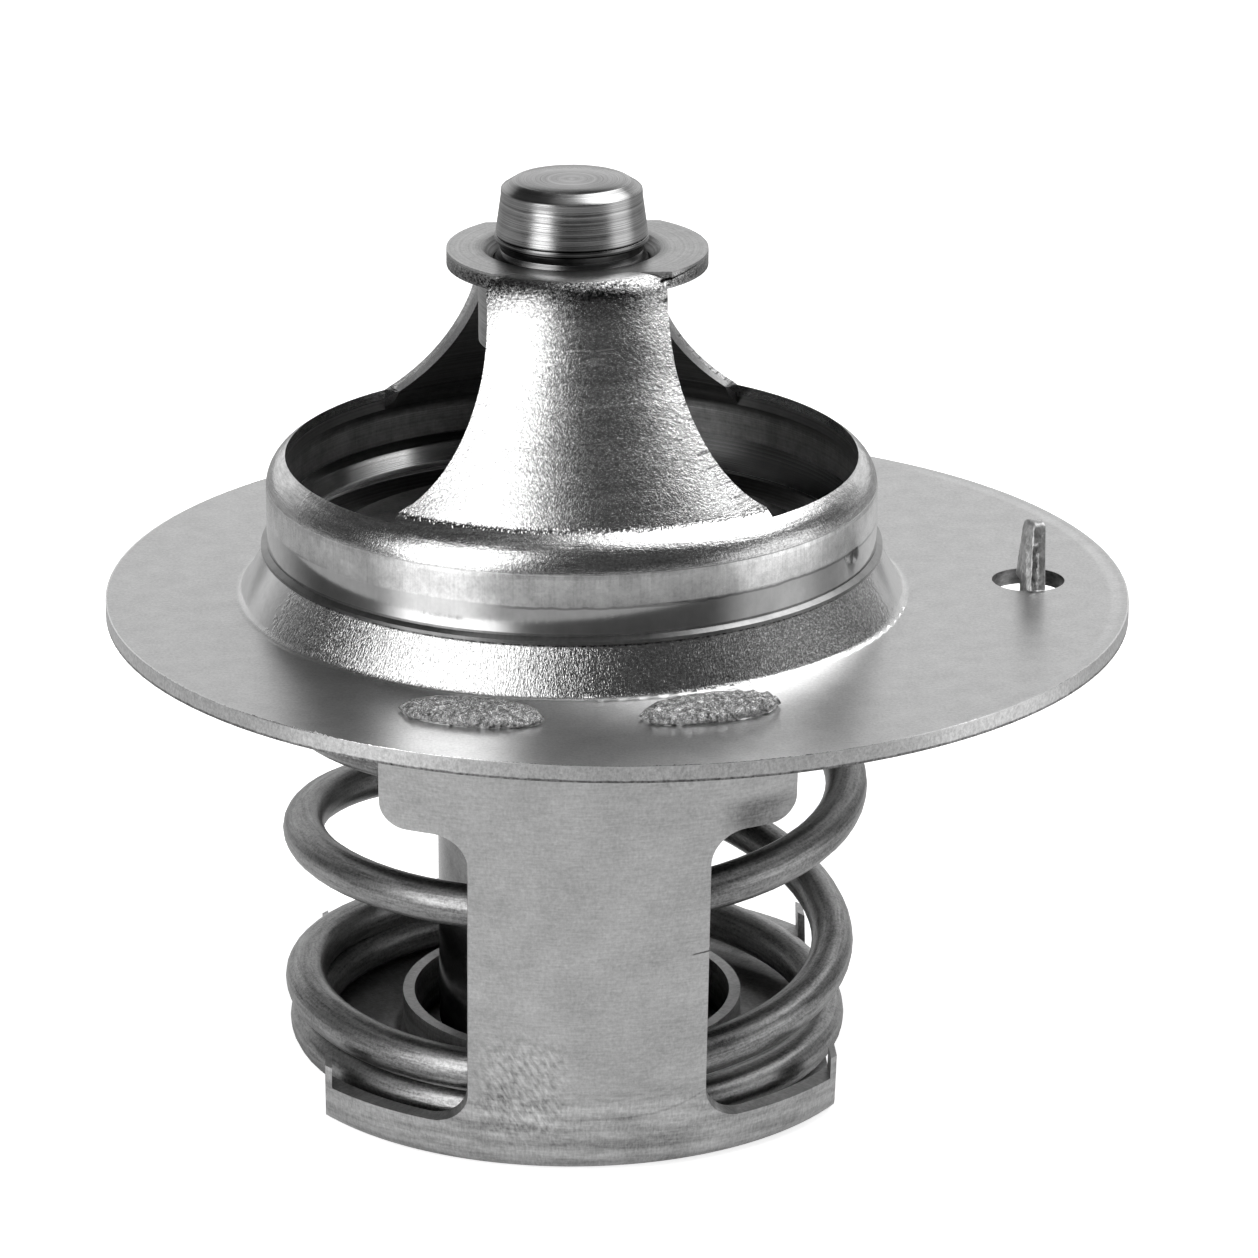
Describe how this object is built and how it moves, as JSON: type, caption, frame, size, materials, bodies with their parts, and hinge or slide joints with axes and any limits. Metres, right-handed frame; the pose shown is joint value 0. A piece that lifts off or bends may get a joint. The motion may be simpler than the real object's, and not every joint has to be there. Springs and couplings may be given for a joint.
{
  "type": "engine thermostat",
  "caption": "Wax element coolant valve: round flange with drawn neck and bridge, sprung valve disc, element can and strip cage below, and an air bleed pin in the flange.",
  "frame": {"origin": "on the valve axis, at the flange's top face", "axes": "+Z along the valve axis towards the bridge and the plug, +X towards the air bleed pin, the bridge legs and the cage struts on the -Y and +Y sides"},
  "size_m": [0.0439, 0.044, 0.0396],
  "materials": {
    "frame_sheet": "pressed stainless sheet, satin, orange peel on the drawn shoulder",
    "turned_steel": "turned, fine lines",
    "cage_sheet": "pressed strip, dull, rough stakes",
    "spring_wire": "drawn spring wire, dark",
    "disc_sheet": "pressed sheet",
    "seal_rubber": "moulded rubber",
    "can_metal": "drawn can, shown grey as in the greyscale photo",
    "washer_plastic": "plain",
    "wax": "filled wax",
    "pin_metal": "hammered wire"
  },
  "bodies": {
    "frame": {"upper_frame": "frame_sheet", "adjusting_plug": "turned_steel", "piston": "turned_steel", "lower_cage": "cage_sheet", "main_spring": "spring_wire"},
    "valve": {"valve_disc": "disc_sheet", "valve_seal": "seal_rubber", "element_can": "can_metal", "element_guide": "turned_steel", "backing_washer": "washer_plastic", "rubber_sleeve": "seal_rubber", "wax_charge": "wax"},
    "bleed": {"bleed_pin": "pin_metal"}
  },
  "joints": [
    {"name": "valve_lift", "type": "slide", "parent": "frame", "child": "valve", "axis": [0, 0, -1], "range_m": [0, 0.008], "stiffness_N_per_m": 3000, "springref_m": -0.012, "deforming": ["main_spring"]},
    {"name": "bleed_lift", "type": "slide", "parent": "frame", "child": "bleed", "axis": [0, 0, 1], "range_m": [0, 0.0013]}
  ]
}
